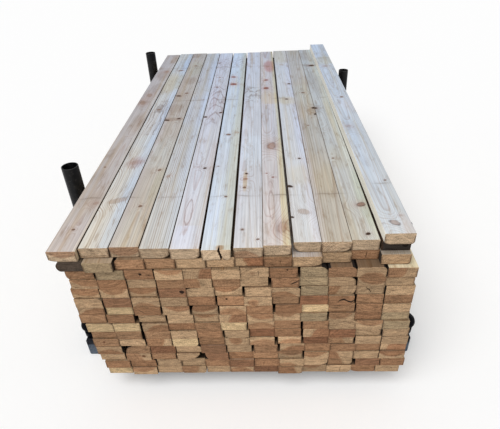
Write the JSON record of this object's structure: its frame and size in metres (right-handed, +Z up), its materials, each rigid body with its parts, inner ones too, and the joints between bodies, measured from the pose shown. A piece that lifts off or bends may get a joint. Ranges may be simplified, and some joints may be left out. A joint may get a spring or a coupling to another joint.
{
  "type": "stack of lumber",
  "caption": "Layered stack of surfaced lumber boards lying flat across the bearers of a low steel rack, held between round pipe posts, with one loose board on top.",
  "frame": {"origin": "middle of the whole object's footprint, on the floor that the rack's rails stand on", "axes": "+Y along the boards, from their front ends to their far ends; +X across the stack, from the left rail to the right rail; +Z up"},
  "size_m": [1.3348, 2.178, 0.739],
  "materials": {
    "board_top": "planed softwood, pale and dry",
    "board_dark": "weathered softwood, nearly black",
    "board_layer": "sawn softwood ends, tan sapwood with reddish heartwood",
    "black_steel": "black satin paint on steel pipe and tube",
    "rail_plug": "dusty blue-grey moulded plastic"
  },
  "bodies": {
    "root": {"board_01": "board_top", "board_02": "board_top", "board_03": "board_top", "board_04": "board_top", "board_05": "board_top", "board_06": "board_top", "board_07": "board_top", "board_08": "board_top", "board_09": "board_top", "board_10": "board_top", "board_11": "board_top", "board_12": "board_dark", "board_loose": "board_top", "layer_02": "board_layer", "layer_03": "board_layer", "layer_04": "board_layer", "layer_05": "board_layer", "layer_06": "board_layer", "layer_07": "board_layer", "layer_08": "board_layer", "layer_09": "board_layer", "layer_10": "board_layer", "layer_11": "board_layer", "layer_12": "board_layer", "layer_13": "board_layer", "layer_14": "board_layer", "layer_15": "board_layer", "rail_left": "black_steel", "rail_right": "black_steel", "bearer_front": "black_steel", "bearer_middle": "black_steel", "bearer_back": "black_steel", "corner_stop_front_left": "black_steel", "corner_stop_front_right": "black_steel", "corner_stop_back_left": "black_steel", "corner_stop_back_right": "black_steel", "sleeve_front_left": "black_steel", "sleeve_front_right": "black_steel", "sleeve_back_left": "black_steel", "sleeve_back_right": "black_steel", "post_front_left": "black_steel", "post_front_right": "black_steel", "post_back_left": "black_steel", "post_back_right": "black_steel", "rail_plug_front_left": "rail_plug", "rail_plug_front_right": "rail_plug", "rail_plug_back_left": "rail_plug", "rail_plug_back_right": "rail_plug"}
  },
  "joints": []
}
